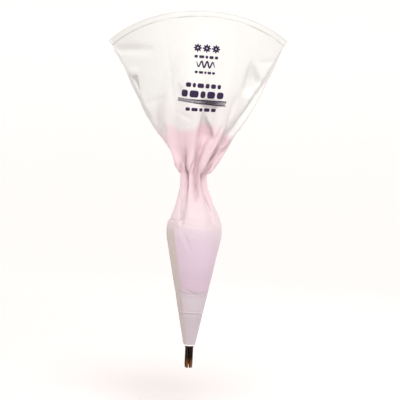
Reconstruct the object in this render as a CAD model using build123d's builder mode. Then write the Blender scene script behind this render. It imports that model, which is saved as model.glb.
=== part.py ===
"""Piping bag: a reusable coated-cotton bag filled with icing, with a steel star nozzle in its tip.

The bag hangs tip down from the hand that grips it round the neck, and its empty top fans out above the grip.
Frame: origin at the centre of the gathered neck, +Z up towards the mouth, X across the fan, -Y the printed front.
Every length is in millimetres.
"""

import os

from build123d import *

# Fabric and clearances
LAYER = 0.5  # one layer of coated cotton, measured level
GATHER = 3.0  # the fabric bunched up in the gathered neck
THREAD = 0.35  # sewing thread
GAP = 0.25  # clearance between pieces that move past each other

# Levels, from the neck
TIP_Z = -184.0  # cut end of the cone
BELLY_Z = -72.0  # top of the taut straight cone
NECK_HALF = 12.0  # half the height of the gathered neck
FILL_Z = 56.0  # top of the icing, above the grip

# Filled cone
TIP_R = 6.0
BELLY_R = 28.3
NECK_R = 15.8
SHOULDER = ((29.1, -62.0), (27.8, -53.0), (21.6, -34.0))  # how the cone rounds over into the neck

# Tip
LINER_HEIGHT = 57.5  # second layer sewn inside the tip
BINDING_HEIGHT = 1.2
BINDING_REACH = 0.3  # how far the binding stands out past the cone

# Seam down the left side
SEAM_WIDTH = 7.0
SEAM_THREAD_AT = 2.4  # each thread's distance from the seam's middle
SEAM_END = 2.0  # bare cone below the seam

# Fan-shaped top: level, left edge, right edge, depth to the front and to the back
NECK_TOP = (NECK_HALF, -24.0, 18.0, 17.5)
FAN_LOW = (40.0, -45.5, 35.5, 27.0)
FAN_MIDDLE = (95.0, -77.3, 64.9, 35.0)
FAN_HIGH = (172.0, -121.8, 106.1, 37.0)  # past the hem, which trims it
CORNER = 1.6  # a wall's reach along X at the fan's sharp side creases, per unit of thickness
HEM_R = 167.0  # the hem is as far as this from the neck's centre all the way round
HEM_WIDTH = 7.5

# Nozzle
TUBE_R = 4.3
TUBE_WALL = 0.5
COLLAR_R = 4.73
COLLAR_LENGTH = 2.6
TUBE_END_Z = -203.0  # end of the plain round tube
TOOTH_END_Z = -208.0
TOOTH_END_R = 4.0
TEETH = 8
NOTCH_WIDTH = 1.0
RIM_Z = TIP_Z + 35.0  # wide base of the nozzle
RIM_BEAD = 0.45
PLUG_PLAY = 0.1  # between the nozzle and the icing in it
LONG = 500.0  # longer than the bag, for cutting boxes

CONE_SLOPE = (BELLY_R - TIP_R) / (BELLY_Z - TIP_Z)


def cone_radius(z, grow=0.0):
    """Outside radius of the straight cone at a level, grown outwards by grow."""
    return TIP_R + CONE_SLOPE * (z - TIP_Z) + grow


def cone_turned(grow, low=TIP_Z, mode=Mode.ADD):
    """The filled bag as one turned solid, from the level low up to just under the neck."""
    top = -NECK_HALF - GAP
    with BuildSketch(Plane.XZ) as profile:
        with BuildLine():
            belly = (BELLY_R + grow, BELLY_Z)
            Line((cone_radius(low, grow), low), belly)
            Spline(
                belly,
                *[(r + grow, z) for r, z in SHOULDER],
                (NECK_R + grow, top),
                tangents=[(CONE_SLOPE, 1), (0, 1)],
            )
            Polyline((NECK_R + grow, top), (0, top), (0, low), (cone_radius(low, grow), low))
        make_face()
    revolve(profile.sketch, axis=Axis.Z, mode=mode)


def fan_section(level, left, right, depth, grow):
    """A level outline of the fan: a front and a back arc that meet in a crease at each side."""
    left, right, depth = left - CORNER * grow, right + CORNER * grow, depth + grow
    middle = (left + right) / 2
    with BuildSketch(Plane.XY.offset(level)) as outline:
        with BuildLine():
            ThreePointArc((left, 0), (middle, -depth), (right, 0))
            ThreePointArc((right, 0), (middle, depth), (left, 0))
        make_face()
    return outline.sketch


def fan_lofted(grow, mode=Mode.ADD):
    """The fan as one solid, from just above the neck to past the hem."""
    sections = ((NECK_HALF + GAP, *NECK_TOP[1:]), FAN_LOW, FAN_MIDDLE, FAN_HIGH)
    loft([fan_section(*section, grow) for section in sections], ruled=True, mode=mode)


def neck_lofted(grow, mode=Mode.ADD):
    """The neck as one solid, round below and fan-shaped above."""
    radius = NECK_R + grow
    with BuildSketch(Plane.XY.offset(-NECK_HALF)) as circle:
        with BuildLine():
            ThreePointArc((-radius, 0), (0, -radius), (radius, 0))
            ThreePointArc((radius, 0), (0, radius), (-radius, 0))
        make_face()
    loft([circle.sketch, fan_section(*NECK_TOP, grow)], ruled=True, mode=mode)


os.makedirs("parts", exist_ok=True)


def write(part, label):
    """Labels a finished piece and writes its STEP file."""
    part.label = label
    export_step(part, f"parts/{label}.step")


# ---- filled cone -------------------------------------------------------------------------------

with BuildPart() as bag_cone:
    cone_turned(0)
    cone_turned(-LAYER, mode=Mode.SUBTRACT)
write(bag_cone.part, "bag_cone")

with BuildPart() as tip_liner:
    cone_turned(-LAYER)
    cone_turned(-2 * LAYER, mode=Mode.SUBTRACT)
    split(bisect_by=Plane.XY.offset(TIP_Z + LINER_HEIGHT), keep=Keep.BOTTOM)
write(tip_liner.part, "tip_liner")

with BuildPart() as tip_binding:
    with BuildSketch(Plane.XZ):
        with BuildLine():
            inside = TIP_R - 2 * LAYER
            outside = TIP_R + BINDING_REACH
            Polyline(
                (inside, TIP_Z),
                (inside, TIP_Z - BINDING_HEIGHT),
                (outside, TIP_Z - BINDING_HEIGHT),
                (outside, TIP_Z),
                close=True,
            )
        make_face()
        fillet(vertices().group_by(Axis.Y)[0], radius=0.5)
    revolve(axis=Axis.Z)
write(tip_binding.part, "tip_binding")

with BuildPart() as liner_stitching:
    cone_turned(THREAD)
    cone_turned(0, mode=Mode.SUBTRACT)
    with Locations((0, 0, TIP_Z + LINER_HEIGHT - 2)):
        Cylinder(LONG, THREAD, mode=Mode.INTERSECT)
    with Locations((-LONG / 2, 0, 0)):
        Box(LONG, SEAM_WIDTH + 2 * GAP, LONG, mode=Mode.SUBTRACT)
write(liner_stitching.part, "liner_stitching")

with BuildPart() as cone_seam:
    cone_turned(LAYER, low=TIP_Z + SEAM_END)
    cone_turned(0, mode=Mode.SUBTRACT)
    with Locations((-LONG / 2, 0, 0)):
        Box(LONG, SEAM_WIDTH, LONG, mode=Mode.INTERSECT)
write(cone_seam.part, "cone_seam")

with BuildPart() as cone_seam_stitching:
    cone_turned(LAYER + THREAD, low=TIP_Z + SEAM_END)
    cone_turned(LAYER, mode=Mode.SUBTRACT)
    with BuildPart(mode=Mode.PRIVATE) as seam_lines:
        with Locations((-LONG / 2, SEAM_THREAD_AT, 0), (-LONG / 2, -SEAM_THREAD_AT, 0)):
            Box(LONG, THREAD, LONG)
    add(seam_lines.part, mode=Mode.INTERSECT)
write(cone_seam_stitching.part, "cone_seam_stitching")

with BuildPart() as icing_lower:
    cone_turned(-2 * LAYER, low=RIM_Z + GAP)
write(icing_lower.part, "icing_lower")

# ---- gathered neck -----------------------------------------------------------------------------

with BuildPart() as neck_gather:
    neck_lofted(0)
    neck_lofted(-GATHER, mode=Mode.SUBTRACT)
write(neck_gather.part, "neck_gather")

with BuildPart() as icing_neck:
    neck_lofted(-GATHER)
write(icing_neck.part, "icing_neck")

# ---- fan-shaped top ----------------------------------------------------------------------------

with BuildPart() as bag_fan:
    fan_lofted(0)
    fan_lofted(-LAYER, mode=Mode.SUBTRACT)
    Sphere(HEM_R, mode=Mode.INTERSECT)
write(bag_fan.part, "bag_fan")

with BuildPart() as top_hem:
    fan_lofted(-LAYER)
    fan_lofted(-2 * LAYER, mode=Mode.SUBTRACT)
    Sphere(HEM_R, mode=Mode.INTERSECT)
    Sphere(HEM_R - HEM_WIDTH, mode=Mode.SUBTRACT)
write(top_hem.part, "top_hem")

with BuildPart() as hem_stitching:
    fan_lofted(THREAD)
    fan_lofted(0, mode=Mode.SUBTRACT)
    Sphere(HEM_R - HEM_WIDTH + 1 + THREAD, mode=Mode.INTERSECT)
    Sphere(HEM_R - HEM_WIDTH + 1, mode=Mode.SUBTRACT)
    with Locations((-LONG / 2, 0, LONG / 2)):
        Box(LONG, SEAM_WIDTH + 2 * GAP, LONG, mode=Mode.SUBTRACT)
write(hem_stitching.part, "hem_stitching")

with BuildPart() as fan_seam:
    fan_lofted(LAYER)
    fan_lofted(0, mode=Mode.SUBTRACT)
    with Locations((-LONG / 2, 0, 0)):
        Box(LONG, SEAM_WIDTH, LONG, mode=Mode.INTERSECT)
    Sphere(HEM_R, mode=Mode.INTERSECT)
write(fan_seam.part, "fan_seam")

with BuildPart() as fan_seam_stitching:
    fan_lofted(LAYER + THREAD)
    fan_lofted(LAYER, mode=Mode.SUBTRACT)
    add(seam_lines.part, mode=Mode.INTERSECT)
    Sphere(HEM_R - 1, mode=Mode.INTERSECT)
write(fan_seam_stitching.part, "fan_seam_stitching")

with BuildPart() as icing_top:
    fan_lofted(-LAYER)
    split(bisect_by=Plane.XY.offset(FILL_Z), keep=Keep.BOTTOM)
write(icing_top.part, "icing_top")

# ---- nozzle ------------------------------------------------------------------------------------


def nozzle_radius(z):
    """Outside radius of the nozzle's wide end, which seats in the lined tip."""
    return cone_radius(z, -2 * LAYER - GAP)


with BuildPart() as nozzle:
    with BuildSketch(Plane.XZ):
        with BuildLine():
            outer = [
                (nozzle_radius(RIM_Z), RIM_Z),
                (nozzle_radius(TIP_Z), TIP_Z),
                (COLLAR_R, TIP_Z - COLLAR_LENGTH),
                (TUBE_R, TIP_Z - COLLAR_LENGTH - 0.4),
                (TUBE_R, TUBE_END_Z),
                (TOOTH_END_R, TOOTH_END_Z),
            ]
            Polyline(*outer, *[(r - TUBE_WALL, z) for r, z in reversed(outer)], close=True)
        make_face()
        with Locations((nozzle_radius(RIM_Z) - TUBE_WALL, RIM_Z - RIM_BEAD)):
            Circle(RIM_BEAD)
    revolve(axis=Axis.Z)
    with BuildSketch(Plane.XZ) as notch:
        with BuildLine():
            Polyline(
                (-NOTCH_WIDTH / 2, TOOTH_END_Z - 1),
                (NOTCH_WIDTH / 2, TOOTH_END_Z - 1),
                (0, TUBE_END_Z - 0.2),
                close=True,
            )
        make_face()
    with PolarLocations(0, TEETH):
        extrude(notch.sketch, amount=2 * TUBE_R, mode=Mode.SUBTRACT)
write(nozzle.part, "nozzle")

with BuildPart() as icing_plug:
    with BuildSketch(Plane.XZ):
        with BuildLine():
            Polyline(
                (0, RIM_Z - 1),
                (nozzle_radius(RIM_Z - 1) - 2 * TUBE_WALL - PLUG_PLAY, RIM_Z - 1),
                (nozzle_radius(TIP_Z) - TUBE_WALL - 2 * PLUG_PLAY, TIP_Z),
                (TUBE_R - TUBE_WALL - PLUG_PLAY, TIP_Z - COLLAR_LENGTH - 1),
                (TUBE_R - TUBE_WALL - PLUG_PLAY, TUBE_END_Z + 2),
                (0, TUBE_END_Z + 2),
                close=True,
            )
        make_face()
    revolve(axis=Axis.Z)
write(icing_plug.part, "icing_plug")
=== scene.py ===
import math

import bpy
import numpy as np
from mathutils import Matrix, Vector


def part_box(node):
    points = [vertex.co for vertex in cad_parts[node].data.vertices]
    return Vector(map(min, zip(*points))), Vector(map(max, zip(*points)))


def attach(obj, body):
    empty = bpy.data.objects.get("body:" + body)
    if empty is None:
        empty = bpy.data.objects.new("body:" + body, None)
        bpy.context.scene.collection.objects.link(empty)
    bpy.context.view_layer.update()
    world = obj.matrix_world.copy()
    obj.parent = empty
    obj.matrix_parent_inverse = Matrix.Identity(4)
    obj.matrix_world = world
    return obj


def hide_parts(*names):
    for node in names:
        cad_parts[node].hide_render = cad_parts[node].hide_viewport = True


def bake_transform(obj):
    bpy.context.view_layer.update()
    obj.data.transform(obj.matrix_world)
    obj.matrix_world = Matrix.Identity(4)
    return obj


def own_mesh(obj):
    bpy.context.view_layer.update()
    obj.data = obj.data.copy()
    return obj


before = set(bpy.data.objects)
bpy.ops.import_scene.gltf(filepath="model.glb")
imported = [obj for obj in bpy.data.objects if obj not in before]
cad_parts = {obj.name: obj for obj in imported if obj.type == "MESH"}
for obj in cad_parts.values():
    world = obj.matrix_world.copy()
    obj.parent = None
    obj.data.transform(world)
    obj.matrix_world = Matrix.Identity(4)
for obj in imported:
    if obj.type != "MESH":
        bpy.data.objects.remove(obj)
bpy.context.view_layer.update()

# The bag is one cloth, cut as a sector and sewn into a cone. A point of the cloth is (s, phi): s is its
# distance from the cone's apex, and phi its angle round the cone, 180 degrees at the sewn left side and 270
# at the printed front. Lengths are in metres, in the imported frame: +Z up to the mouth, -Y the front.

MM = 0.001
LAYER = 0.5 * MM  # one layer of cloth
TAU = 2 * math.pi

# ---- sizes read from the frame ----

TIP_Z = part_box("bag_cone")[0].z
PROUD = 0.3 * MM  # how far the rolled binding stands out past the cloth
TIP_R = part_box("tip_binding")[1].x - PROUD
LINER_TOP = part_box("tip_liner")[1].z
NOZZLE_LOW, NOZZLE_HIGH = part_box("nozzle")
HEM_LOW, HEM_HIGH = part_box("bag_fan")
FILL_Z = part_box("icing_top")[1].z
HEM_R = 167 * MM  # the hem is this far from the neck all the way round
HEM_WIDTH = 7.5 * MM

# ---- the cone that the cut cloth makes ----

FLARE = math.atan((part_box("tip_liner")[1].x + LAYER - TIP_R) / (LINER_TOP - TIP_Z))
SIN, COS = math.sin(FLARE), math.cos(FLARE)
APEX_Z = TIP_Z - TIP_R / math.tan(FLARE)


def slant(z):
    """Distance along the cloth, from the apex, of a level on the straight cone."""
    return (z - APEX_Z) / COS


def around(count):
    """Angles evenly all the way round."""
    return np.arange(count) * TAU / count


def smooth(x, low, high):
    """0 below low, 1 above high, and a smooth step between them."""
    t = np.clip((x - low) / (high - low), 0, 1)
    return t * t * (3 - 2 * t)


def bump(x, at, wide):
    """A soft bump of height 1."""
    return np.exp(-(((x - at) / wide) ** 2))


def points(x, y, z):
    """Coordinates of any matching shapes as one array of points."""
    return np.stack(np.broadcast_arrays(x, y, z), -1).astype(float)


def polar(r, phi, z):
    """Points at a radius and an angle round the Z axis, at a level."""
    return points(r * np.cos(phi), r * np.sin(phi), z)


RING_Z = -3 * MM  # the tightest ring of the gathered neck
STRAIGHT_Z = -72 * MM  # below this the filled cone is straight and taut
S_TIP, S_NECK, S_STRAIGHT = slant(TIP_Z), slant(RING_Z), slant(STRAIGHT_Z)
SPARE = 2 * MM  # the cloth is this much longer than the straight line from the neck to the hem
S_HEM = S_NECK + HEM_R + SPARE
LEFT, FRONT = math.pi, 1.5 * math.pi
HEM_SPAN = math.radians(158)  # how much of the hem's way round lies on the front
OPEN_FRONT, OPEN_BACK = 36 * MM, 38 * MM  # how far the open mouth bows out each way

# ---- simulation grid ----

AROUND = 144
ROW = 3.3 * MM
ROWS = round((S_HEM - S_TIP) / ROW) + 1
S = np.linspace(S_TIP, S_HEM, ROWS)[:, None]
PHI = around(AROUND)[None, :]


def cut_cone(s, phi):
    """The open cone of the cut cloth."""
    return polar(s * SIN, phi, APEX_Z + s * COS)


def filled_cone(s, phi):
    """The cone as the icing fills it, rounding in above its straight part."""
    rounding = 11.5  # per metre
    r = s * SIN - rounding * np.maximum(s - S_STRAIGHT, 0) ** 2
    return polar(r, phi, APEX_Z + s * COS)


def crease_level(phi):
    """Level of the crease where the taut belly ends and the folds of the grip begin."""
    return (-59.3 + 6.7 * np.sin(phi - FRONT - math.radians(13)) ** 2) * MM


def fold_turn(phi):
    """Phase of the folds: 0 in each crease and pi in the middle of the facet between two creases."""
    folds, crease_at = 8, math.radians(51)
    return folds * (phi - FRONT - crease_at) + 0.25 * np.sin(3 * (phi - FRONT))


def gathered(z, phi):
    """The shoulder and the neck: facets and creases that deepen from the belly up into the grip."""
    levels = np.array([-61, -50, -35, -18, RING_Z / MM]) * MM
    outer = np.interp(z, levels, np.array([29.0, 27.2, 21.4, 15.6, 14.6]) * MM)
    depth = np.interp(z, levels, np.array([0.2, 3.0, 4.0, 4.2, 4.6]) * MM)
    faint = np.exp(-(((phi - FRONT) / math.radians(18) - 0.3) ** 2)) * (1 - smooth(z, -38 * MM, -18 * MM))
    depth = depth * (1 - 0.85 * faint)
    lean = 0.11 * smooth(z, -60 * MM, RING_Z) * np.sin(fold_turn(phi) + 0.6)
    fold = 2 * np.abs(np.sin(fold_turn(phi) / 2)) ** 0.62 - 1  # -1 in a crease, 1 on the broad facets
    r = outer - depth * (1 - fold) + 0.8 * MM * np.sin(2 * phi + 0.5)
    aside = -3.5 * MM * smooth(z, -52 * MM, RING_Z)  # the hand pulls the neck a little to the left
    return points(r * np.cos(phi + lean) + aside, r * np.sin(phi + lean), z)


def hem_side(bow, waves=0.0):
    """Points along one side of the hem, from its left corner to its right one, bowed out in Y."""
    across = np.linspace(-1, 1, 400)
    low, high = math.asin(HEM_LOW.x / HEM_R), math.asin(HEM_HIGH.x / HEM_R)
    angle = low + (high - low) * (across + 1) / 2
    y = bow * (1 - np.abs(across) ** 2.2) + waves * np.sin(3 * math.pi * across + 0.6) * (1 - across**4)
    reach = np.sqrt(HEM_R**2 - y**2)
    return points(reach * np.sin(angle), y, reach * np.cos(angle))


def spread(side, share):
    """Points at these shares of the length of a side of the hem."""
    run = np.concatenate([[0], np.cumsum(np.linalg.norm(np.diff(side, axis=0), axis=1))])
    return np.stack([np.interp(share * run[-1], run, side[:, k]) for k in range(3)], -1)


def side_creases(s):
    """The cloth's angles at the fan's left and right crease. The front narrows faster than the cloth does
    towards the grip, so the spare cloth rolls round the creases to the back."""
    up = np.clip((s - S_NECK) / (S_HEM - S_NECK), 0, 1)
    rolled = 0.2 * HEM_SPAN * np.minimum(1 - up, 0.5) * smooth(up, 0.0, 0.35)
    return LEFT + rolled, LEFT + HEM_SPAN - rolled


def mouth_share(s, phi):
    """How far round the mouth a point of the fan belongs: 0 to 1 over the front, and 1 to 2 over the back."""
    left, right = side_creases(s)
    turn = (phi - left) % TAU
    span = right - left
    return np.where(turn <= span, turn / span, 1 + (turn - span) / (TAU - span))


def mouth(share):
    """Points of the open mouth: a front and a back arc that meet in the two side creases."""
    front, back = hem_side(-OPEN_FRONT), hem_side(OPEN_BACK, waves=8 * MM)
    on_front = spread(front, np.clip(share, 0, 1))
    return np.where((share <= 1)[..., None], on_front, spread(back, np.clip(2 - share, 0, 1)))


def front_middle(s, phi):
    """0 at the side creases and all over the back, 1 along the middle of the front."""
    return np.sin(math.pi * np.clip(mouth_share(s, phi), 0, 1))


def held_fan(s, phi):
    """Straight lines from the grip to the hem, with the cloth's spare length down by the grip."""
    ring, hem = gathered(RING_Z, phi), mouth(mouth_share(s, phi))
    line = ring - hem
    spare = (S_HEM - S_NECK) / np.linalg.norm(line, axis=-1, keepdims=True)
    t = ((S_HEM - s) / (S_HEM - S_NECK))[..., None]
    bow = points(0, -7 * MM, 0)  # of the middle of the front, halfway up
    bulge = bow * np.sin(math.pi * np.clip(t, 0, 1)) * front_middle(s, phi)[..., None]
    return hem + bulge + line * t * (1 + (spare - 1) * (1 - smooth(t, 0.45, 1)))


def held_below(s, phi):
    """The taut cone, and above its crease the shoulder and the neck."""
    belly = slant(crease_level(phi))
    shoulder = gathered(np.minimum(APEX_Z + s * COS, RING_Z), phi)
    rounded = smooth(s, belly - 1 * MM, belly + 3.5 * MM)[..., None]
    return filled_cone(s, phi) * (1 - rounded) + shoulder * rounded


def grip_weights():
    """How firmly each point is held, from 0 to 1."""
    up = S - S_NECK
    belly = 1 - smooth(S, slant(crease_level(PHI)) - 2 * MM, slant(crease_level(PHI)) + 3 * MM)
    ring = (np.abs(up) < ROW) * 1.0
    hem = (S > S_HEM - 1.5 * ROW) * 1.0
    column = TAU / AROUND
    creased = np.minimum(*[np.abs(PHI - crease) for crease in side_creases(S)]) < 0.6 * column
    creases = creased * smooth(up, 5 * MM, 15 * MM)
    face = 0.04 * (mouth_share(S, PHI) < 1) * smooth(up, 60 * MM, 110 * MM)
    shoulder = (up < 0) * 1.0
    return np.maximum.reduce(np.broadcast_arrays(belly, ring, hem, creases, face, shoulder))


def grid_faces(rows, columns, wrapped=False):
    """Quads of a grid that closes on itself round its columns and, where wrapped, over its rows."""
    here = np.arange(rows * columns).reshape(rows, columns)
    above = np.roll(here, -1, 0)
    quads = np.stack([here, np.roll(here, -1, 1), np.roll(above, -1, 1), above], -1)
    return quads[: rows if wrapped else rows - 1].reshape(-1, 4)


def tube_faces(rows, columns):
    """Faces of a closed tube: a grid round its columns, and one flat face at each end."""
    ring = np.arange(columns)
    return [*grid_faces(rows, columns), ring[::-1], ring + (rows - 1) * columns]


def new_object(name, verts, faces):
    """A smooth-shaded mesh object from arrays of points and faces."""
    mesh = bpy.data.meshes.new(name)
    mesh.from_pydata(np.asarray(verts).reshape(-1, 3).tolist(), [], [list(map(int, f)) for f in faces])
    mesh.shade_smooth()
    made = bpy.data.objects.new(name, mesh)
    bpy.context.scene.collection.objects.link(made)
    return made


def capped(name, shell, low, high):
    """A closed mass: rings of points from the bottom up, with a point on the axis to close each end."""
    count, sides = shell.shape[:2]
    bottom, last = np.full(sides, count * sides), (count - 1) * sides
    here = np.arange(sides)
    after = np.roll(here, -1)
    faces = [*grid_faces(count, sides), *np.stack([after, here, bottom], -1)]
    faces += list(np.stack([last + here, last + after, bottom + 1], -1))
    return new_object(name, np.concatenate([shell.reshape(-1, 3), [(0, 0, low), (0, 0, high)]]), faces)


def cloth_settings(modifier, frames):
    """Crisp coated cotton: it hardly stretches, and it is stiff to bend."""
    cloth, touch = modifier.settings, modifier.collision_settings
    cloth.quality = 6
    cloth.mass = 0.02
    cloth.tension_stiffness = cloth.compression_stiffness = 40
    cloth.shear_stiffness = 20
    cloth.bending_model = "ANGULAR"
    cloth.bending_stiffness = 300
    cloth.tension_damping = cloth.compression_damping = cloth.shear_damping = 10
    cloth.bending_damping = cloth.air_damping = 2
    cloth.vertex_group_mass = "held"
    cloth.pin_stiffness = 5
    cloth.effector_weights.gravity = 0
    touch.distance_min = 0.5 * MM
    touch.friction = touch.self_friction = 0
    touch.use_self_collision = True
    touch.self_distance_min = 1.2 * MM
    modifier.point_cache.frame_start, modifier.point_cache.frame_end = 1, frames


def simulated_cloth():
    """Gathers the cut cone into the grip and flattens its mouth into the fan, by cloth simulation."""
    held = np.where((S > S_NECK)[..., None], held_fan(S, PHI), held_below(S, PHI))
    first = int(np.searchsorted(S[:, 0], S_NECK)) - 3
    cut = cut_cone(S, PHI)[first:]
    bag = new_object("simulated", cut, grid_faces(len(cut), AROUND))
    bag.shape_key_add(name="Basis")
    rest, target = bag.shape_key_add(name="cut"), bag.shape_key_add(name="held")
    target.data.foreach_set("co", held[first:].ravel().astype(np.float32))
    group = bag.vertex_groups.new(name="held")
    for k, weight in enumerate(grip_weights()[first:].ravel()):
        group.add([k], float(weight), "REPLACE")
    frames, settled = 60, 36
    for value, frame_number in ((0, 1), (1, settled)):
        target.value = value
        target.keyframe_insert("value", frame=frame_number)
    modifier = bag.modifiers.new("Cloth", "CLOTH")
    cloth_settings(modifier, frames)
    modifier.settings.rest_shape_key = rest
    for number in range(1, frames + 1):
        bpy.context.scene.frame_set(number)
    settled_mesh = bag.evaluated_get(bpy.context.evaluated_depsgraph_get()).data
    flat = np.zeros(cut.size)
    settled_mesh.vertices.foreach_get("co", flat)
    held[first:] = flat.reshape(cut.shape)
    bpy.data.objects.remove(bag)
    bpy.context.scene.frame_set(1)
    return held


# ---- the finished cloth surface ----

COLUMNS = 2 * AROUND
STITCH_Z = LINER_TOP - 2 * MM  # the liner's stitch line
RIM_Z = NOZZLE_HIGH.z
HEM_STITCH_S = S_HEM - HEM_WIDTH + 1 * MM
RELIEF = np.array([-3.2, -2.2, -1.4, -0.8, -0.4, 0, 0.4, 0.8, 1.4, 2.2, 3.2]) * MM


def fine_rows():
    """The finished rows: even ones, and closer ones where there is fine relief."""
    even = np.arange(S_TIP, S_HEM - ROW / 4, ROW / 2)
    close = [at + RELIEF for at in (slant(RIM_Z), slant(STITCH_Z), HEM_STITCH_S)]
    hem = S_HEM - np.array([4, 3, 2, 1, 0.5, 0]) * MM
    crease = np.arange(slant(-61 * MM), slant(-49 * MM), 0.8 * MM)
    rows = np.sort(np.concatenate([even, *close, hem, crease, [S_NECK]]))
    keep = np.concatenate([[True], np.diff(rows) > 0.15 * MM])
    keep[np.argmin(np.abs(rows - S_NECK))] = True
    return rows[keep]


def spline_weights(targets, count, closed):
    """Weights that read a smooth cubic B-spline at fractional places along count control points."""
    base = np.floor(targets).astype(int)
    if not closed:
        base = np.minimum(base, count - 2)
    t = targets - base
    parts = ((1 - t) ** 3, 3 * t**3 - 6 * t**2 + 4, -3 * t**3 + 3 * t**2 + 3 * t + 1, t**3)
    rows = np.arange(len(targets))
    weights = np.zeros((len(targets), count))
    for step, part in zip((-1, 0, 1, 2), parts):
        at = base + step
        real = at % count if closed else np.clip(at, 0, count - 1)
        past = 0 if closed else (at != real) * 1.0
        np.add.at(weights, (rows, real), part / 6 * (1 + past))
        np.add.at(weights, (rows, np.where(at < 0, 1, count - 2)), -part / 6 * past)
    return weights


def normals_of(surface, s):
    """Outward normals of a grid of points over the rows s."""
    across = np.roll(surface, -1, axis=1) - np.roll(surface, 1, axis=1)
    normal = np.cross(across, np.gradient(surface, s, axis=0))
    return normal / np.linalg.norm(normal, axis=-1, keepdims=True)


def pocket(x, z, apex, foot, wide, depth):
    """A fold tucked in under a point: nothing at its apex, widest and deepest towards its foot."""
    t = (apex[1] - z) / (apex[1] - foot[1])
    across = np.abs(x - apex[0] - (foot[0] - apex[0]) * t) / (wide * np.clip(t, 0.05, None))
    shape = smooth(t, 0, 0.75) * (1 - smooth(t, 0.92, 1.3)) * (1 - smooth(across, 0.35, 1.1))
    return depth * shape


def groove(x, z, start, end, wide, depth):
    """A soft groove between two places, or a ridge where depth is negative."""
    run = np.subtract(end, start)
    along = np.clip(((x - start[0]) * run[0] + (z - start[1]) * run[1]) / (run @ run), 0, 1)
    away = np.hypot(x - start[0] - along * run[0], z - start[1] - along * run[1])
    return depth * bump(away, 0, wide) * (0.35 + 0.65 * np.sin(math.pi * (0.1 + 0.8 * along)))


def side_pleat(x, z):
    """The pleat that overhangs the left edge: sharp along its top and its right side."""
    right = -68.5 + 0.257 * (97.5 - z)
    under = (1 - smooth(z, 96.6, 98.4)) * smooth(z, 78, 90)
    return 4.5 * under * (1 - smooth(x, right - 1.0, right + 1.0)) - 1.6 * bump(z, 102, 3.5) * bump(x, -74, 7)


def front_dents(x, z):
    """How deep the bag's front is pressed in at a place, all in mm."""
    deep = pocket(x, z, (51, 121), (56, 88), 15, 5.2) + pocket(x, z, (3, 66), (8, 36), 9, 5.0)
    deep = deep + pocket(x, z, (-25, 93), (-20, 76), 6, 1.1) + side_pleat(x, z)
    for start, end, wide, depth in (
        ((-94, 124), (-56, 123), 4.5, 2.4),  # on the fan
        ((-60, 68), (-40, 74), 3.0, 1.0),
        ((37, 77), (25, 29), 2.4, 1.8),
        ((60, 116), (84, 120), 2.6, 0.9),
        ((2, 20), (7, 38), 1.6, 1.4),  # just above the neck
        ((13, 22), (24, 46), 1.7, 1.8),
        ((22, 24), (33, 52), 1.7, 1.4),
        ((-24, 60), (-8, 52), 2.2, 0.8),
        ((-13.5, -64), (-4, -77), 1.5, 0.9),  # on the cone
        ((-12, -70), (-3, -84), 1.6, 0.7),
        ((-11, -65), (5, -68), 1.8, 0.5),
        ((-10.5, -123), (4, -129.5), 1.4, 0.8),
        ((-15, -32), (-13.5, -48), 1.3, 1.8),  # on the shoulder
        ((-17, -57), (-16, -50), 2.6, -2.2),
        ((-12.5, -45), (-13.5, -57), 1.1, 1.6),
        ((8, -28), (18.5, -46), 1.2, 1.2),
        ((17.5, -30), (25.5, -55), 1.3, 1.3),
        ((-1, -18), (0, -32), 1.2, 0.9),
    ):
        deep = deep + groove(x, z, start, end, wide, depth)
    return deep


def stitch_dip(phi):
    """The liner is sewn in a little lower at the front."""
    return 1.5 * MM * np.clip(-np.sin(phi), 0, 1) ** 2


def puckers(s, phi, at):
    """Small gathers that a pulled stitch line leaves in the cloth each side of it."""
    wave = np.sin(23 * phi + 2 * np.sin(5 * phi)) + 0.6 * np.sin(41 * phi + 1.3 + 300 * (s - at))
    return 0.16 * MM * wave * bump(s, at, 4 * MM)


def relief(s, phi, surface):
    """A height above the simulated cloth: the nozzle's rim, stitch lines, the crease and the dents."""
    rim, stitch = slant(RIM_Z), slant(STITCH_Z) - stitch_dip(phi)
    height = 0.75 * MM * bump(s, rim, 0.6 * MM) - 0.4 * MM * bump(s, rim - 1.8 * MM, 1.4 * MM)
    height = height - 0.4 * MM * bump(s, stitch, 0.9 * MM) + puckers(s, phi, stitch)
    crease = slant(crease_level(phi))
    height = height - 0.7 * MM * bump(s, crease + 1.0 * MM, 1.0 * MM)
    height = height + 0.45 * MM * bump(s, crease - 1.5 * MM, 1.6 * MM)
    hem = 0.3 * MM * smooth(s, HEM_STITCH_S, HEM_STITCH_S + 2.5 * MM)
    height = height + hem + 0.5 * puckers(s, 2 * phi, HEM_STITCH_S)
    height = height - 0.3 * MM * bump(s, HEM_STITCH_S, 0.6 * MM)
    front = smooth(-surface[..., 1], 0, 3 * MM)
    return height - front * front_dents(surface[..., 0] / MM, surface[..., 2] / MM) * MM


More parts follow.
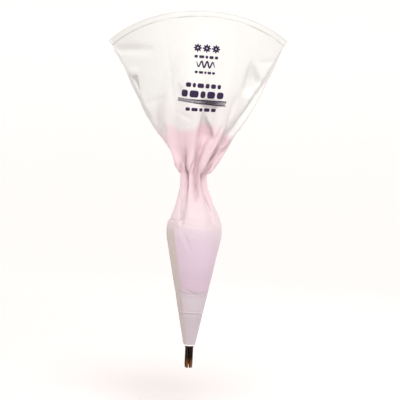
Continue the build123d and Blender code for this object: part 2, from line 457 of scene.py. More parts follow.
class Cloth:
    """The finished outer surface, with its points and normals over rows s and columns phi."""

    def __init__(self, coarse):
        self.s = fine_rows()
        self.phi = around(COLUMNS)
        rows = spline_weights((self.s - S_TIP) / (S_HEM - S_TIP) * (ROWS - 1), ROWS, False)
        columns = spline_weights(self.phi / TAU * AROUND, AROUND, True)
        surface = np.einsum("ri,ijk,cj->rck", rows, coarse, columns)
        s, phi = self.s[:, None], self.phi[None]
        below = 1 - smooth(s, S_NECK - 16 * MM, S_NECK - 5 * MM)[..., None]
        surface = surface * (1 - below) + held_below(s, phi) * below
        surface = self.pulled_flat(surface, s, phi)
        normals = normals_of(surface, self.s)
        self.points = surface + normals * relief(s, phi, surface)[..., None]
        self.normals = normals_of(self.points, self.s)
        self.along = np.gradient(self.points, self.s, axis=0)

    def pulled_flat(self, surface, s, phi):
        """The hand pulls the front flatter than the back, and icing fills it out low down on its left."""
        flat = held_fan(s, phi)
        up = s - S_NECK
        share = 0.6 * np.sqrt(front_middle(s, phi)) * smooth(up, 30 * MM, 80 * MM)
        surface = surface + (flat - surface) * share[..., None]
        puffed = np.mean([held_fan(s, phi + turn) for turn in np.linspace(-0.35, 0.35, 9)], axis=0)
        filled = bump(surface[..., 0], -16 * MM, 19 * MM) * (surface[..., 1] < 0)
        filled = filled * smooth(up, 8 * MM, 32 * MM) * (1 - smooth(up, 60 * MM, 90 * MM))
        return surface + (puffed - surface) * 0.9 * filled[..., None]

    def at(self, s, phi, lift=0.0):
        """Points at (s, phi), lifted off the cloth by lift, and carried straight on past its ends."""
        s, phi, lift = np.broadcast_arrays(s, phi, lift)
        row = np.interp(s, self.s, np.arange(len(self.s)))
        past = (s - np.clip(s, self.s[0], self.s[-1]))[..., None]
        column = (phi / TAU * COLUMNS) % COLUMNS
        i, j = np.minimum(row.astype(int), len(self.s) - 2), column.astype(int) % COLUMNS
        a, b, k = (row - i)[..., None], (column - np.floor(column))[..., None], (j + 1) % COLUMNS

        def read(grid):
            low = grid[i, j] * (1 - b) + grid[i, k] * b
            high = grid[i + 1, j] * (1 - b) + grid[i + 1, k] * b
            return low * (1 - a) + high * a

        return read(self.points) + read(self.normals) * lift[..., None] + read(self.along) * past


cloth = Cloth(simulated_cloth())

# ---- building pieces on the cloth ----


def map_cloth(made, s, phi):
    """UV maps of a piece whose points lie at (s, phi): 'cut' is its place on the flat cut cloth, in metres,
    with the sewn edges at the ends, and 'place' is its share of the way round and its share of the height."""
    mesh = made.data
    corner = np.zeros(len(mesh.loops), int)
    mesh.loops.foreach_get("vertex_index", corner)
    sizes = np.zeros(len(mesh.polygons), int)
    mesh.polygons.foreach_get("loop_total", sizes)
    first = np.repeat(corner[np.concatenate([[0], np.cumsum(sizes)[:-1]])], sizes)
    turn = (np.asarray(phi, float).ravel() - LEFT) % TAU
    turn = turn[first] + (turn[corner] - turn[first] + math.pi) % TAU - math.pi
    far = np.asarray(s, float).ravel()[corner]
    angle = (turn - math.pi) * SIN
    for name, u, v in (("cut", far * np.sin(angle), far * np.cos(angle)), ("place", turn / TAU, far / S_HEM)):
        layer = mesh.uv_layers.new(name=name)
        layer.data.foreach_set("uv", np.stack([u, v], -1).ravel().astype(np.float32))


GAP = 0.03 * MM  # between layers of cloth that touch


def cloth_shell(name, first, last, depth=0.0):
    """The cloth's rows from first to last as a closed layer, its outside this deep under the surface."""
    rows = np.r_[first : last + 1, last : first - 1 : -1]
    inside = np.repeat([0, 1], last + 1 - first)[:, None, None]
    normals = cloth.normals[rows]
    verts = cloth.points[rows] - normals * (depth + LAYER * inside)
    made = new_object(name, verts, grid_faces(len(rows), COLUMNS, wrapped=True))
    map_cloth(made, *np.broadcast_arrays(cloth.s[rows, None], cloth.phi))
    facing = normals * (1 - 2 * inside)
    made.data.normals_split_custom_set_from_vertices(facing.reshape(-1, 3).tolist())
    return made


def laid(name, s, phi, lift, faces):
    """A piece whose points lie at (s, phi) on the cloth, lifted off it."""
    s, phi, lift = np.broadcast_arrays(s, phi, lift)
    made = new_object(name, cloth.at(s, phi, lift), faces)
    map_cloth(made, s, phi)
    return made


def strip(name, s, phi, lift):
    """A closed piece laid on the cloth: each row of the arrays is one cross-section, as an outline."""
    return laid(name, s, phi, lift, tube_faces(*np.broadcast(s, phi, lift).shape))


def swept(name, s, phi, lift):
    """A closed piece whose outline is swept right round the cloth."""
    return laid(name, s, phi, lift, grid_faces(*np.broadcast(s, phi, lift).shape, wrapped=True)[:, ::-1])


THREAD_R = 0.2 * MM
STITCH_GAP = 0.28  # the share of each stitch's length that is hidden in the cloth


def capsule(start, end, out):
    """Points and faces of one stitch: a thread that dips into the cloth at both ends."""
    along, across = end - start, np.cross(out, end - start)
    across = across / np.linalg.norm(across)
    share = np.array([0.0, 0.12, 0.3, 0.5, 0.7, 0.88, 1.0])
    wide = np.array([0.25, 0.75, 1.0, 1.0, 1.0, 0.75, 0.25]) * THREAD_R
    rise = np.array([-0.9, -0.2, 0.35, 0.5, 0.35, -0.2, -0.9]) * THREAD_R
    turn = around(6)
    middle = start + share[:, None] * along + rise[:, None] * out
    ring = np.cos(turn)[:, None] * across + np.sin(turn)[:, None] * out
    verts = middle[:, None] + wide[:, None, None] * ring[None]
    return verts.reshape(-1, 3), tube_faces(*verts.shape[:2])


def stitches(name, s, phi, lift=0.1 * MM):
    """A row of stitches between neighbouring points of a line on the cloth, as one piece."""
    here = cloth.at(s, phi, lift)
    out = cloth.at(s, phi, lift + 1 * MM) - here
    out = out / np.linalg.norm(out, axis=-1, keepdims=True)
    verts, faces = [], []
    for k in range(len(here) - 1):
        hidden = (here[k + 1] - here[k]) * STITCH_GAP / 2
        some, theirs = capsule(here[k] + hidden, here[k + 1] - hidden, out[k])
        faces += [f + sum(map(len, verts)) for f in theirs]
        verts.append(some)
    return new_object(name, np.concatenate(verts), faces)


def joined(name, parts):
    """Several objects as one."""
    with bpy.context.temp_override(active_object=parts[0], selected_editable_objects=parts):
        bpy.ops.object.join()
    parts[0].name = parts[0].data.name = name
    return parts[0]


# ---- baking each piece in place, and finishing it ----


def twists(made):
    """Bakes the piece's transform into its mesh."""
    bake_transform(made)


def bends(made):
    """Bakes the piece's transform into its mesh."""
    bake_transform(made)


def finished(made, material, slot, *nodes):
    """Gives a piece its material and hides the CAD nodes that it stands for. Its slot is not used."""
    made.data.materials.clear()
    made.data.materials.append(material)
    if nodes:
        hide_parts(*nodes)
    return made


# ---- materials ----


def srgb(red, green, blue):
    """A colour given as sRGB bytes, as linear RGBA."""
    bytes_ = np.array([red, green, blue]) / 255
    linear = np.where(bytes_ < 0.04045, bytes_ / 12.92, ((bytes_ + 0.055) / 1.055) ** 2.4)
    return (*linear.tolist(), 1.0)


class Look:
    """A material being built: its nodes, and the Principled shader that they feed."""

    def __init__(self, name, roughness, **sockets):
        self.material = bpy.data.materials.new(name)
        self.material.use_nodes = True
        self.tree = self.material.node_tree
        self.shader = self.tree.nodes["Principled BSDF"]
        self.set(self.shader, {"Roughness": roughness, **sockets})

    def set(self, node, values):
        """Links or sets a node's inputs, by name or by number."""
        for key, value in values.items():
            socket = node.inputs[key]
            if isinstance(value, bpy.types.NodeSocket):
                self.tree.links.new(value, socket)
            else:
                socket.default_value = value

    def add(self, kind, values=None, output=0, **settings):
        """Adds a node and returns one of its outputs."""
        node = self.tree.nodes.new("ShaderNode" + kind)
        for key, value in settings.items():
            setattr(node, key, value)
        self.set(node, values or {})
        return node.outputs[output]

    def axis(self, place, which):
        """One coordinate of a place: 0 is X, 1 is Y and 2 is Z."""
        return self.add("SeparateXYZ", {0: place}, output=which)

    def math(self, operation, first, second=0.0):
        """One arithmetic step on values."""
        return self.add("Math", {0: first, 1: second}, operation=operation)

    def scaled(self, value, by, plus):
        """value * by + plus."""
        return self.add("Math", {0: value, 1: by, 2: plus}, operation="MULTIPLY_ADD")

    def step(self, value, low, high):
        """0 below low, 1 above high, and smooth between. With low above high it falls instead."""
        return self.add("MapRange", {"Value": value, 1: low, 2: high}, interpolation_type="SMOOTHSTEP")

    def mix(self, share, first, second):
        """A mix of two colours."""
        return self.add("Mix", {0: share, 6: first, 7: second}, output=2, data_type="RGBA")

    def noise(self, place, scale, detail=3.0, rough=0.5, stretch=None):
        """A noise from 0 to 1, stretched along the axes if asked."""
        if stretch:
            place = self.add("Mapping", {"Vector": place, "Scale": stretch})
        return self.add("TexNoise", {"Vector": place, "Scale": scale, "Detail": detail, "Roughness": rough})

    def ramp(self, value, stops):
        """A colour ramp through (position, colour) stops."""
        colour = self.add("ValToRGB", {0: value})
        elements = colour.node.color_ramp.elements
        while len(elements) < len(stops):
            elements.new(0.5)
        for element, stop in zip(elements, stops):
            element.position, element.color = stop
        return colour

    def bump(self, height, distance, under=None):
        """Raises the surface by up to distance, over another bump if one is given."""
        values = {"Height": height, "Distance": distance, "Strength": 1.0}
        if under:
            values["Normal"] = under
        return self.add("Bump", values)

    def done(self, colour, normal=None, **sockets):
        """Sets the shader's colour and last inputs, and returns the material."""
        sockets = {"Base Color": colour, **sockets}
        if normal:
            sockets["Normal"] = normal
        self.set(self.shader, sockets)
        return self.material


def woven(look, cut, under=None):
    """The relief of a plain weave, over another bump if one is given."""
    pitch, high = 0.6 * MM, 0.02 * MM
    waves = [look.math("SINE", look.math("MULTIPLY", look.axis(cut, k), TAU / pitch)) for k in (0, 1)]
    return look.bump(look.math("MULTIPLY", *waves), high, under)


def level_share(z):
    """The height in the 'place' map of a level of the straight cone, given in mm."""
    return slant(z * MM) / S_HEM


def above_neck(distance):
    """The height in the 'place' map of the cloth this far past the neck, in mm."""
    return (S_NECK + distance * MM) / S_HEM


def level_tints():
    """The cloth's colour by level: icing shows pink through it, a second layer hides it at the tip, and
    painted shade and light follow how each level faces the light.
    """
    # The tints darken towards the tip. This is partly painted shade, as the cone faces down away from the
    # light, and partly less pink where the liner doubles the cloth.
    tints = (
        (-184, (209, 197, 205)), (-156, (207, 195, 203)), (-149, (214, 203, 210)),
        # The dark stop at -128 is painted shade, standing in for the shadow of a crease across the cone.
        (-134, (217, 206, 213)), (-128, (205, 188, 198)), (-124, (221, 197, 212)),
        (-109, (222, 199, 216)), (-97, (228, 206, 223)), (-84, (231, 209, 225)),
        # The step up from -63 to -60 is painted light: the shoulder above the belly's crease faces up to the
        # light.
        (-71, (233, 215, 227)), (-63, (236, 220, 230)), (-60, (243, 226, 231)),
        (-45, (245, 226, 231)), (-3, (244, 217, 224)),
    )
    return [(level_share(level), srgb(*tint)) for level, tint in tints]


def cloth_colour(look, cut, turn, level, blotches):
    """Pale cloth, pink where icing lies behind it, with painted shade in a grey-pink haze above the pink and
    down the left side of the cone, and a patchy grey line along the hem.
    """
    edge = look.math("ADD", level, look.scaled(look.noise(cut, 24, 1.0), 44 * MM / S_HEM, -22 * MM / S_HEM))
    # Painted shade: a grey-pink haze over the fan, strongest just above the pink and gone 100 mm past the
    # neck, standing in for a soft shadow.
    painted_shade = look.math("MULTIPLY", look.step(edge, above_neck(100), above_neck(55)), 0.6)
    fan = look.mix(painted_shade, srgb(250, 251, 248), srgb(238, 231, 233))
    above = look.step(edge, above_neck(44), above_neck(56))
    colour = look.mix(above, look.ramp(level, level_tints()), fan)
    # Painted shade: the left side of the taut cone is greyer, and darker towards the tip, standing in for the
    # shade of a fold along it.
    beside = look.math("PINGPONG", look.math("ADD", turn, 0.035), 0.5)
    ends = {1: level_share(-125), 2: level_share(-64), 3: 0.006, 4: 0.03}
    beside = look.math("ADD", beside, look.add("MapRange", {"Value": level, **ends}))
    taut = look.step(level, level_share(-52), level_share(-68))
    shaded_side = look.math("MULTIPLY", look.step(beside, 0.192, 0.181), taut)
    side_shade_tints = [(level_share(-140), srgb(208, 195, 193)), (level_share(-80), srgb(219, 206, 199))]
    colour = look.mix(shaded_side, colour, look.ramp(level, side_shade_tints))
    # A patchy grey line along the hem's stitch line.
    off_line = look.math("ABSOLUTE", look.math("SUBTRACT", level, (HEM_STITCH_S + 0.2 * MM) / S_HEM))
    line = look.step(off_line, 1.1 * MM / S_HEM, 0.4 * MM / S_HEM)
    hem_grey_line = look.math("MULTIPLY", line, look.step(blotches, 0.35, 0.6))
    colour = look.mix(hem_grey_line, colour, srgb(222, 222, 216))
    return look.add("VectorMath", {0: colour, "Scale": look.scaled(blotches, 0.04, 0.78)}, operation="SCALE")


def cloth_material():
    """Coated cotton: a fine weave under a satin coating, tinted pink where icing lies behind it, with painted
    shade and light in its colour.
    """
    look = Look("coated_cotton", 0.55, **{"Sheen Weight": 0.25, "Sheen Roughness": 0.4})
    cut, place = look.add("UVMap", uv_map="cut"), look.add("UVMap", uv_map="place")
    blotches = look.noise(cut, 45, 3.0)
    crumple = look.bump(look.noise(cut, 85, 4.0, 0.6), 0.5 * MM)
    threads = woven(look, cut, look.bump(look.noise(cut, 420, 3.0), 0.05 * MM, crumple))
    colour = cloth_colour(look, cut, look.axis(place, 0), look.axis(place, 1), blotches)
    return look.done(colour, threads, Roughness=look.scaled(blotches, 0.18, 0.42))


def fibres(look, scale, stretch, dark, pale, high):
    """Fine fibres whose tone varies, paler where they stand high: a painted highlight on the raised fibres.
    """
    fine = look.noise(look.add("TexCoord", output=3), scale, 2.0, stretch=stretch)
    return look.done(look.mix(fine, dark, pale), look.bump(fine, high))


def thread_material():
    """White polyester thread with its twist."""
    look = Look("thread", 0.45, **{"Sheen Weight": 0.4})
    return fibres(look, 1500, None, srgb(232, 230, 228), srgb(252, 252, 250), 0.06 * MM)


def binding_material():
    """White cotton tape, rolled over the cut tip."""
    look = Look("binding", 0.7, **{"Sheen Weight": 0.3})
    return fibres(look, 900, (1, 1, 0.3), srgb(226, 221, 219), srgb(250, 248, 246), 0.12 * MM)


def icing_material():
    """Smooth pink icing with soft swirls."""
    soft = {"Subsurface Weight": 0.15, "Subsurface Scale": 2 * MM, "Specular IOR Level": 0.4}
    look = Look("icing", 0.38, **soft)
    place = look.add("TexCoord", output=3)
    swirl = look.noise(place, 60, 4.0, 0.45)
    colour = look.mix(swirl, srgb(246, 205, 220), srgb(253, 226, 236))
    height = look.bump(look.noise(place, 350, 3.0), 0.1 * MM, look.bump(swirl, 1.2 * MM))
    return look.done(colour, height)


def steel_material():
    """Drawn steel, its tones painted dark for the dark surroundings that it reflects: streaks along the tube,
    and a painted brown reflection of skin towards its teeth.
    """
    look = Look("nozzle_steel", 0.3, Metallic=1.0)
    place = look.add("TexCoord", output=3)
    streak = look.noise(place, 900, 4.0, 0.6, stretch=(1, 1, 0.05))
    blotch = look.noise(place, 260, 3.0)
    # Painted reflection: the steel's tones are dark, standing in for dark surroundings mirrored in it.
    steel = look.ramp(streak, [(0.32, srgb(10, 6, 4)), (0.52, srgb(30, 22, 17)), (0.72, srgb(84, 72, 60))])
    # Painted reflection: brown towards the teeth, standing in for skin mirrored in the steel.
    skin_reflection = look.ramp(streak, [(0.3, srgb(36, 18, 8)), (0.52, srgb(88, 56, 32)), (0.75, srgb(150, 108, 72))])
    wandering = look.scaled(blotch, 3 * MM, look.axis(place, 2))
    low = look.step(wandering, NOZZLE_LOW.z + 13 * MM, NOZZLE_LOW.z + 6 * MM)
    grain = look.bump(streak, 0.03 * MM)
    return look.done(look.mix(low, steel, skin_reflection), grain, Roughness=look.scaled(blotch, 0.3, 0.14))


def ink_material():
    """Dark violet screen-printing ink, a little thin where the weave is high."""
    look = Look("print_ink", 0.5, **{"Specular IOR Level": 0.3})
    cut = look.add("UVMap", uv_map="cut")
    thin = look.noise(cut, 1600, 2.0)
    colour = look.ramp(thin, [(0.35, srgb(34, 16, 52)), (0.6, srgb(48, 28, 70)), (0.78, srgb(96, 78, 118))])
    return look.done(colour, woven(look, cut))


COTTON, THREAD, BINDING = cloth_material(), thread_material(), binding_material()
ICING, STEEL, INK = icing_material(), steel_material(), ink_material()

# ---- the cloth's own pieces ----

SEAM_HALF = 3.5 * MM
SEAM_LINES = (-2.4 * MM, 2.4 * MM)  # its two rows of stitches
STITCH = 2.8 * MM  # length of one stitch
RING_ROW = int(np.argmin(np.abs(cloth.s - S_NECK)))


def seam_strip(name, low, high):
    """The felled seam: a strip of cloth folded double and laid over the left side, its edges rounded."""
    across = np.array([-1, -0.97, -0.88, -0.5, 0, 0.5, 0.88, 0.97, 1, 0.9, 0.5, 0, -0.5, -0.9]) * SEAM_HALF
    height = np.array([0.02, 0.3, 0.46, 0.5, 0.52, 0.5, 0.46, 0.3, 0.02, *[-0.1] * 5]) * MM
    s = np.arange(low, high + ROW / 4, (high - low) / round((high - low) / (ROW / 2)))[:, None]
    return strip(name, s, LEFT - across / (s * SIN), height)


def seam_stitches(name, low, high):
    """The seam's two lines of stitches."""
    s = np.arange(low, high, STITCH)
    return joined(name, [stitches(name, s, LEFT + at / (s * SIN), lift=0.55 * MM) for at in SEAM_LINES])


def stitch_places(s, gap):
    """Angles of the stitches right round the cloth at s, starting and ending clear of the seam."""
    clear = SEAM_HALF / (s * SIN) + gap
    return np.linspace(LEFT + clear, LEFT + TAU - clear, round(TAU * SIN * s / STITCH))


def hem_roll():
    """The hem's turned-in layer and its fold over the edge of the mouth, outlined in mm from that edge."""
    wide = HEM_WIDTH / MM
    outline = (
        (-wide, -0.6), (0.5 - wide, -1.05), (-3, -1.1), (-0.3, -1.1), (0.25, -0.85), (0.45, -0.4),
        (0.3, 0.05), (-0.2, 0.16), (-0.9, 0.05), (-0.6, -0.3), (-3, -0.52),
    )
    place, lift = np.array(outline).T[:, None] * MM
    return swept("hem_fold", S_HEM + place, cloth.phi[:, None], lift)


def make_side(side, sheet, seam, sewn, nodes, moves):
    """The cloth on one side of the neck with its sewn seam, finished and baked in place."""
    finished(sheet, COTTON, "coated_cotton", *nodes)
    finished(seam, COTTON, "coated_cotton", side + "_seam")
    finished(sewn, THREAD, "thread", side + "_seam_stitching")
    for made in (sheet, seam, sewn):
        moves(made)


def make_cloth():
    """The bag's cloth and everything sewn to it."""
    lower = cloth_shell("cloth_lower", 0, RING_ROW)
    upper = cloth_shell("cloth_upper", RING_ROW, len(cloth.s) - 1)
    seam_low = seam_strip("seam_lower", S_TIP + 2 * MM, S_NECK)
    seam_high = seam_strip("seam_upper", S_NECK, S_HEM - 0.5 * MM)
    sewn_low = seam_stitches("seam_stitches_lower", S_TIP + 4 * MM, S_NECK)
    sewn_high = seam_stitches("seam_stitches_upper", S_NECK, S_HEM - 1 * MM)
    nodes = ("bag_cone", "neck_gather")
    make_side("cone", lower, seam_low, sewn_low, nodes, twists)
    make_side("fan", upper, seam_high, sewn_high, ("bag_fan",), bends)
    hem = finished(hem_roll(), COTTON, "coated_cotton", "top_hem")
    hem_line = stitch_places(HEM_STITCH_S, 0.004)
    hem_sewn = finished(stitches("hem_stitches", HEM_STITCH_S, hem_line), THREAD, "thread", "hem_stitching")
    for made in (hem, hem_sewn):
        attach(made, "top")


def make_tip():
    """The lined and bound tip."""
    liner_row = int(np.argmin(np.abs(cloth.s - slant(LINER_TOP))))
    liner = cloth_shell("liner", 0, liner_row, depth=LAYER + GAP)
    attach(finished(liner, COTTON, "coated_cotton", "tip_liner"), "bag")
    at = slant(STITCH_Z)
    line = stitch_places(at, 0.03)
    sewn = stitches("liner_stitches", at - stitch_dip(line), line, lift=0.05 * MM)
    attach(finished(sewn, THREAD, "thread", "liner_stitching"), "bag")
    turn, phi = around(18), cloth.phi[:, None]
    lumps = 0.05 * MM * np.sin(11 * phi) + 0.04 * MM * np.sin(29 * phi)
    s = S_TIP - 0.15 * MM + (0.85 * MM + lumps) * np.sin(turn)
    lift = -0.4 * MM + (0.72 * MM + lumps) * np.cos(turn)
    rolled = swept("rolled_binding", s, phi, lift)
    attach(finished(rolled, BINDING, "binding", "tip_binding"), "bag")


# ---- icing ----

SPOKES = 96  # points round each mass of icing


def inside_radius(levels):
    """How far a smooth mass can reach inside the cloth, at each level and in each direction."""
    x, y, z = (cloth.points - cloth.normals * LAYER).reshape(-1, 3).T
    spoke = np.round(np.arctan2(y, x) / TAU * SPOKES).astype(int) % SPOKES
    result = []
    for level in levels:
        near = np.abs(z - level) < levels[1] - levels[0]
        least = np.full(SPOKES, np.inf)
        np.minimum.at(least, spoke[near], np.hypot(x, y)[near])
        result.append(np.minimum.reduce([np.roll(least, k) for k in (-1, 0, 1)]))
    return np.array(result)


def icing_mass(name, low, high, crown=0.0):
    """A closed mass of icing that fills the cloth between two levels, its top crowned or flat."""
    levels = np.linspace(low, high, max(6, round((high - low) / (3 * MM))))
    reach = inside_radius(levels) - 0.4 * MM
    for _ in range(3):
        softer = (np.roll(reach, 1, 1) + np.roll(reach, -1, 1) + 2 * reach) / 4
        reach = np.minimum(reach, softer)
    phi = around(SPOKES)
    turn = np.linspace(0, math.pi / 2, 12)[1:-1, None]
    swirl = 1 + 0.05 * np.sin(3 * phi + 9 * np.cos(turn))
    heights = np.concatenate([levels[:, None] + 0 * phi, high + crown * np.sin(turn) * swirl])
    reach = np.concatenate([reach, reach[-1] * np.cos(turn)])
    return capped(name, polar(reach, phi, heights), low, high + 1.01 * crown)


def make_icing():
    """The icing in the tip, the belly, the neck and the bottom of the fan."""
    split_z = STRAIGHT_Z - 3 * MM
    neck_low, neck_high = [corner.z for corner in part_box("icing_neck")]
    tip = finished(icing_mass("icing_tip", RIM_Z + 0.4 * MM, split_z), ICING, "icing", "icing_lower")
    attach(tip, "bag")
    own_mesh(tip)
    belly = icing_mass("icing_belly", split_z + 0.1 * MM, neck_low - 0.1 * MM)
    twists(finished(belly, ICING, "icing"))
    bends(finished(icing_mass("icing_throat", neck_low, neck_high), ICING, "icing", "icing_neck"))
    crown = icing_mass("icing_crown", neck_high + 0.1 * MM, FILL_Z - 8 * MM, 7 * MM)
    bends(finished(crown, ICING, "icing", "icing_top"))


# ---- nozzle ----

TEETH, TOOTH_HIGH, SLIT_WIDE = 8, 4.8 * MM, 1.0 * MM
WALL, TUBE_R = 0.5 * MM, 4.3 * MM
BEAD = 0.45 * MM  # radius of the rolled rim


def tooth_ends(phi):
    """The level of the tube's end: low at the teeth, and up to the top of the slits between them."""
    pitch = np.abs((phi / TAU * TEETH + 0.5) % 1 - 0.5) * 2  # 0 in the middle of a slit, 1 mid-tooth
    slit = SLIT_WIDE * TEETH / (TAU * TUBE_R)
    return NOZZLE_LOW.z + TOOTH_HIGH * np.clip(1 - pitch / slit, 0, 1)


def make_nozzle():
    """The star nozzle: a rolled rim, a tapered body, a collar and a tube whose end is cut into teeth."""
    phi = around(2 * SPOKES)
    rim_r, collar_z, cut_z = NOZZLE_HIGH.x, TIP_Z - 2.6 * MM, NOZZLE_LOW.z + 6 * MM
    profile = (
        (rim_r - 0.75 * MM, RIM_Z - 1.3 * MM), (4.78 * MM, TIP_Z + 1.0 * MM), (4.74 * MM, TIP_Z),
        (4.73 * MM, collar_z + 0.15 * MM), (4.62 * MM, collar_z), (4.36 * MM, collar_z - 0.35 * MM),
        (TUBE_R, collar_z - 0.5 * MM), (TUBE_R, collar_z - 7 * MM), (TUBE_R, cut_z),
    )
    r, z = np.array(profile).T[..., None]
    share = np.linspace(0.15, 1, 8)[:, None]
    level = cut_z * (1 - share) + tooth_ends(phi) * share
    bent = 0.3 * MM * np.clip((NOZZLE_LOW.z + 5 * MM - level) / (5 * MM), 0, 1)
    outer_r = np.concatenate([r + 0 * phi, TUBE_R - bent])
    outer_z = np.concatenate([z + 0 * phi, level])
    bead = np.linspace(1.25, -0.9, 9)[:, None] * math.pi / 2
    bead_r, bead_z = rim_r - BEAD + BEAD * np.cos(bead), RIM_Z - BEAD + BEAD * np.sin(bead)
    radius = np.concatenate([bead_r + 0 * phi, outer_r, outer_r[::-1] - WALL])
    height = np.concatenate([bead_z + 0 * phi, outer_z, outer_z[::-1]])
    rows = polar(radius, phi, height)[::-1]
    nozzle = new_object("star_nozzle", rows, grid_faces(*rows.shape[:2], wrapped=True))
    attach(finished(nozzle, STEEL, "nozzle_steel", "nozzle"), "nozzle")


def make_plug():
    """The icing inside the nozzle, with a domed end where it will come out."""
    phi = around(SPOKES)
    low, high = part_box("icing_plug")
    bore, dome = 3.7 * MM, 3.2 * MM
    levels = np.concatenate([np.linspace(high.z, TIP_Z, 12), np.linspace(TIP_Z - 1 * MM, low.z + dome, 8)])
    wide = np.interp(levels, [low.z, TIP_Z - 3.6 * MM, TIP_Z, high.z], [bore, bore, 4.05 * MM, high.x])
    turn = np.linspace(0, math.pi / 2, 9)[1:-1]
    levels = np.concatenate([levels, low.z + dome - dome * np.sin(turn)])[::-1, None]
    wide = np.concatenate([wide, bore * np.cos(turn)])[::-1, None]
    grooved = np.clip((low.z + 12 * MM - levels) / (12 * MM), 0, 1)
    wide = wide * (1 - 0.06 * grooved * (1 - np.cos(TEETH * phi)) / 2)
    made = capped("icing_plug_domed", polar(wide, phi, levels), low.z, high.z + 0.2 * MM)
    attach(finished(made, ICING, "icing", "icing_plug"), "nozzle_icing")


# ---- print ----

PRINT_S = S_NECK + 99 * MM  # the print's middle
INK_TOP, INK_UNDER = 0.16 * MM, -0.05 * MM


def print_middle():
    """The cloth's angle at the middle of the print, just right of the bag's middle."""
    row = cloth.at(PRINT_S, cloth.phi)
    front = (cloth.phi > LEFT + 0.5) & (cloth.phi < LEFT + HEM_SPAN - 0.5)
    return float(np.interp(3 * MM, row[front, 0], cloth.phi[front]))


def on_front(u, v):
    """(s, phi) of a place on the bag's front, u across it and v up from the print's middle, in mm."""
    u, v = np.broadcast_arrays(np.asarray(u, float), np.asarray(v, float))
    s = S_NECK + np.hypot(PRINT_S - S_NECK + v * MM, u * MM)
    phi = PRINT_PHI + np.linspace(-0.8, 0.8, 81)
    across = cloth.at(s[..., None], phi)[..., 0] - cloth.at(s, PRINT_PHI)[..., :1]
    found = [np.interp(place, row, phi) for place, row in zip((u * MM).ravel(), across.reshape(-1, len(phi)))]
    return s, np.reshape(found, u.shape)


def ink_patch(u, v):
    """A thin patch of ink over a grid of places, whose rows and columns are those of u."""
    here = np.arange(u.size).reshape(u.shape)
    face = np.stack([here[:-1, :-1], here[:-1, 1:], here[1:, 1:], here[1:, :-1]], -1).reshape(-1, 4)
    edge = np.concatenate([here[0, :-1], here[:-1, -1], here[-1, :0:-1], here[:0:-1, 0]])
    after = np.roll(edge, -1)
    wall = np.stack([edge + u.size, after + u.size, after, edge], -1)
    faces = np.concatenate([face, face[:, ::-1] + u.size, wall])
    lift = np.array([INK_TOP, INK_UNDER])[:, None, None]
    return laid("ink", *on_front(u, v), lift, faces)


def ink_steps(length, spacing, least=3):
    """An odd number of places from -1 to 1, about this far apart over a length."""
    return np.linspace(-1, 1, max(least, round(length / spacing) | 1))


def ink_bar(u, v, wide, high):
    """A rounded bar."""
    t = np.sin(ink_steps(wide, 0.6, least=9) * math.pi / 2)
    corner = min(1.0, 0.6 * high / wide)
    past = np.clip((np.abs(t) - 1 + corner) / corner, 0, 1)
    half = 0.3 + 0.7 * np.sqrt(1 - past**2)
    across = ink_steps(high, 1.1)[None]
    return ink_patch(u + t[:, None] * wide / 2 + 0 * across, v + across * half[:, None] * high / 2)


def ink_dashes(v, high, widths, space):
    """A row of bars of these widths."""
    start = -(sum(widths) + space * (len(widths) - 1)) / 2
    made = []
    for wide in widths:
        made.append(ink_bar(start + wide / 2, v, wide, high))
        start += wide + space
    return made


def ink_rosette(u, v, size):
    """An eight-petalled piped rosette."""
    turn = np.linspace(0, TAU, 49)[None]
    reach = size / 2 * (0.8 + 0.2 * np.cos(8 * turn))
    share = np.linspace(0.2, 1, 5)[:, None]
    return ink_patch(u + share * reach * np.sin(turn), v + share * reach * np.cos(turn))


def ink_wave(v, wide, high, thick):
    """A wavy line that thins towards its ends."""
    t = np.linspace(-1, 1, 61)
    middle_v = v + high / 2 * np.sin(3.5 * math.pi * t) * (1 - 0.3 * t**2)
    slope = np.gradient(middle_v, t * wide / 2)
    size = thick / 2 * (1 - 0.75 * t**4)
    side = np.array([-1, 0, 1])[None]
    tilt = np.sqrt(1 + slope**2)
    places_u = (t * wide / 2)[:, None] - side * (size * slope / tilt)[:, None]
    return ink_patch(places_u, middle_v[:, None] + side * (size / tilt)[:, None])


def ink_hatching(v, wide):
    """A band of slanted hatching that widens and drops to the right, between two thin lines."""
    made = []

    def edge(u, side):
        return v - 0.035 * u + side * (1.85 + 0.022 * u)

    line, slope, pitch, both = 0.75, 0.22, 1.3, np.array([[1, -1]])
    for u in np.arange(-wide / 2 + 1, wide / 2 - 0.8, pitch):
        tall, middle = edge(u, 1) - edge(u, -1), (edge(u, 1) + edge(u, -1)) / 2
        along = ink_steps(tall, 1.2)[:, None] * tall
        made.append(ink_patch(u + both * line / 2 + along * slope, middle + along / 2 + 0 * both))
    u = np.linspace(-1, 1, 61)[:, None] * wide / 2
    # Known fault: u has one column here and v has two, so each of these two lines is an open, folded strip.
    for side in (1, -1):
        made.append(ink_patch(u, edge(u, side) + 0.4 * both))
    return made


def make_print():
    """The printed panel: plain ornaments, with no lettering."""
    made = [ink_rosette(u, 31.5, 9) for u in (-9.4, 0, 9.4)]
    made += ink_dashes(22.6, 2.9, (3.4, 5.2, 2.6, 4.2, 3.2), 1.4)
    made.append(ink_wave(15.0, 20, 6.5, 1.5))
    made += ink_dashes(6.6, 2.5, (3.0, 4.4, 2.2, 3.6, 2.8), 1.2)
    made += ink_dashes(-7.0, 4.6, (5.4, 3.2, 6.6, 4.0, 5.0, 3.4), 1.7)
    made += ink_dashes(-16.0, 7.0, (6.4, 9.2, 5.0, 8.0, 6.6), 2.0)
    made += ink_hatching(-23.6, 50)
    made += ink_dashes(-31.6, 3.4, (4.6, 6.4, 3.2, 5.6, 4.8), 1.7)
    panel = joined("printed_ornament", made)
    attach(finished(panel, INK, "coated_cotton"), "top")


PRINT_PHI = print_middle()
make_cloth()
make_tip()
make_icing()
make_nozzle()
make_plug()
make_print()

# ---- stage, light and camera ----


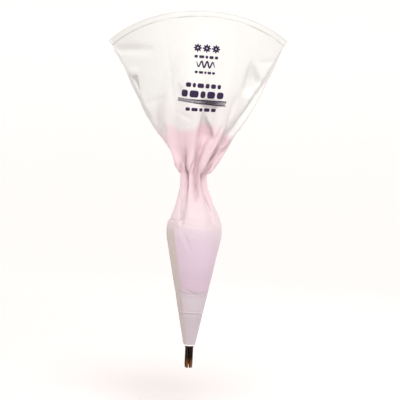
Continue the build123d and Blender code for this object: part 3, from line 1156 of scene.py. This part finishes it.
def make_stage():
    """A pale floor that curves up into a wall all round, a little brighter behind the bag."""
    sides, floor_z, floor_r, curve, wall = 96, NOZZLE_LOW.z - 0.1, 1.9, 0.9, 3.4
    turn = np.linspace(0, math.pi / 2, 16)[1:]
    r = [1e-5, *np.linspace(0.3, floor_r, 6), *(floor_r + curve * np.sin(turn)), floor_r + curve]
    z = floor_z + np.array([*[0.0] * 7, *(curve - curve * np.cos(turn)), wall])
    rows = polar(np.array(r)[:, None], around(sides), z[:, None])
    cove = new_object("cove", rows, grid_faces(len(rows), sides)[:, ::-1])
    look = Look("cove_paint", 0.9)
    behind = look.axis(look.add("TexCoord", output=3), 1)
    glow = look.add("MapRange", {"Value": behind, 1: -1.5, 2: 2.0, 3: 0.25, 4: 0.44})
    shine = {"Emission Color": srgb(255, 250, 250), "Emission Strength": glow}
    cove.data.materials.append(look.done(srgb(225, 222, 220), **shine))


def soft_light(name, place, aim, size, power):
    """A square softbox, its size in metres and its power in watts."""
    lamp = bpy.data.lights.new(name, "AREA")
    lamp.size, lamp.energy = size, power
    made = bpy.data.objects.new(name, lamp)
    turn = (Vector(aim) - Vector(place)).to_track_quat("-Z", "Y")
    made.matrix_world = Matrix.LocRotScale(Vector(place), turn, None)
    bpy.context.scene.collection.objects.link(made)


def make_lights():
    """A high key light in front, a weak fill from the right, a light from behind, and a pale room."""
    soft_light("key", (0.1, -1.1, 1.2), (0, 0, 0.02), 0.45, 16.5)
    soft_light("fill", (1.1, -0.9, 0.3), (0, 0, 0), 1.0, 1.3)
    soft_light("back", (0.5, 1.3, 0.9), (0, 0, 0), 1.0, 3)
    world = bpy.data.worlds.new("room")
    world.use_nodes = True
    colour, strength = world.node_tree.nodes["Background"].inputs[:2]
    colour.default_value, strength.default_value = (1, 1, 1, 1), 0.2
    bpy.context.scene.world = world


def make_camera():
    """The camera looks level along +Y from one metre, rolled so that the bag leans a little to the right."""
    roll = math.radians(2.6)
    place = (0.00436, -1.0, -0.0304)
    camera = bpy.data.objects.new("camera", bpy.data.cameras.new("camera"))
    camera.data.sensor_width, camera.data.lens = 36, 84.9
    level = Matrix.Rotation(math.pi / 2, 4, "X")
    camera.matrix_world = Matrix.Translation(place) @ level @ Matrix.Rotation(roll, 4, "Z")
    bpy.context.scene.collection.objects.link(camera)
    bpy.context.scene.camera = camera


make_stage()
make_lights()
make_camera()
bpy.context.scene.view_settings.view_transform = "Standard"
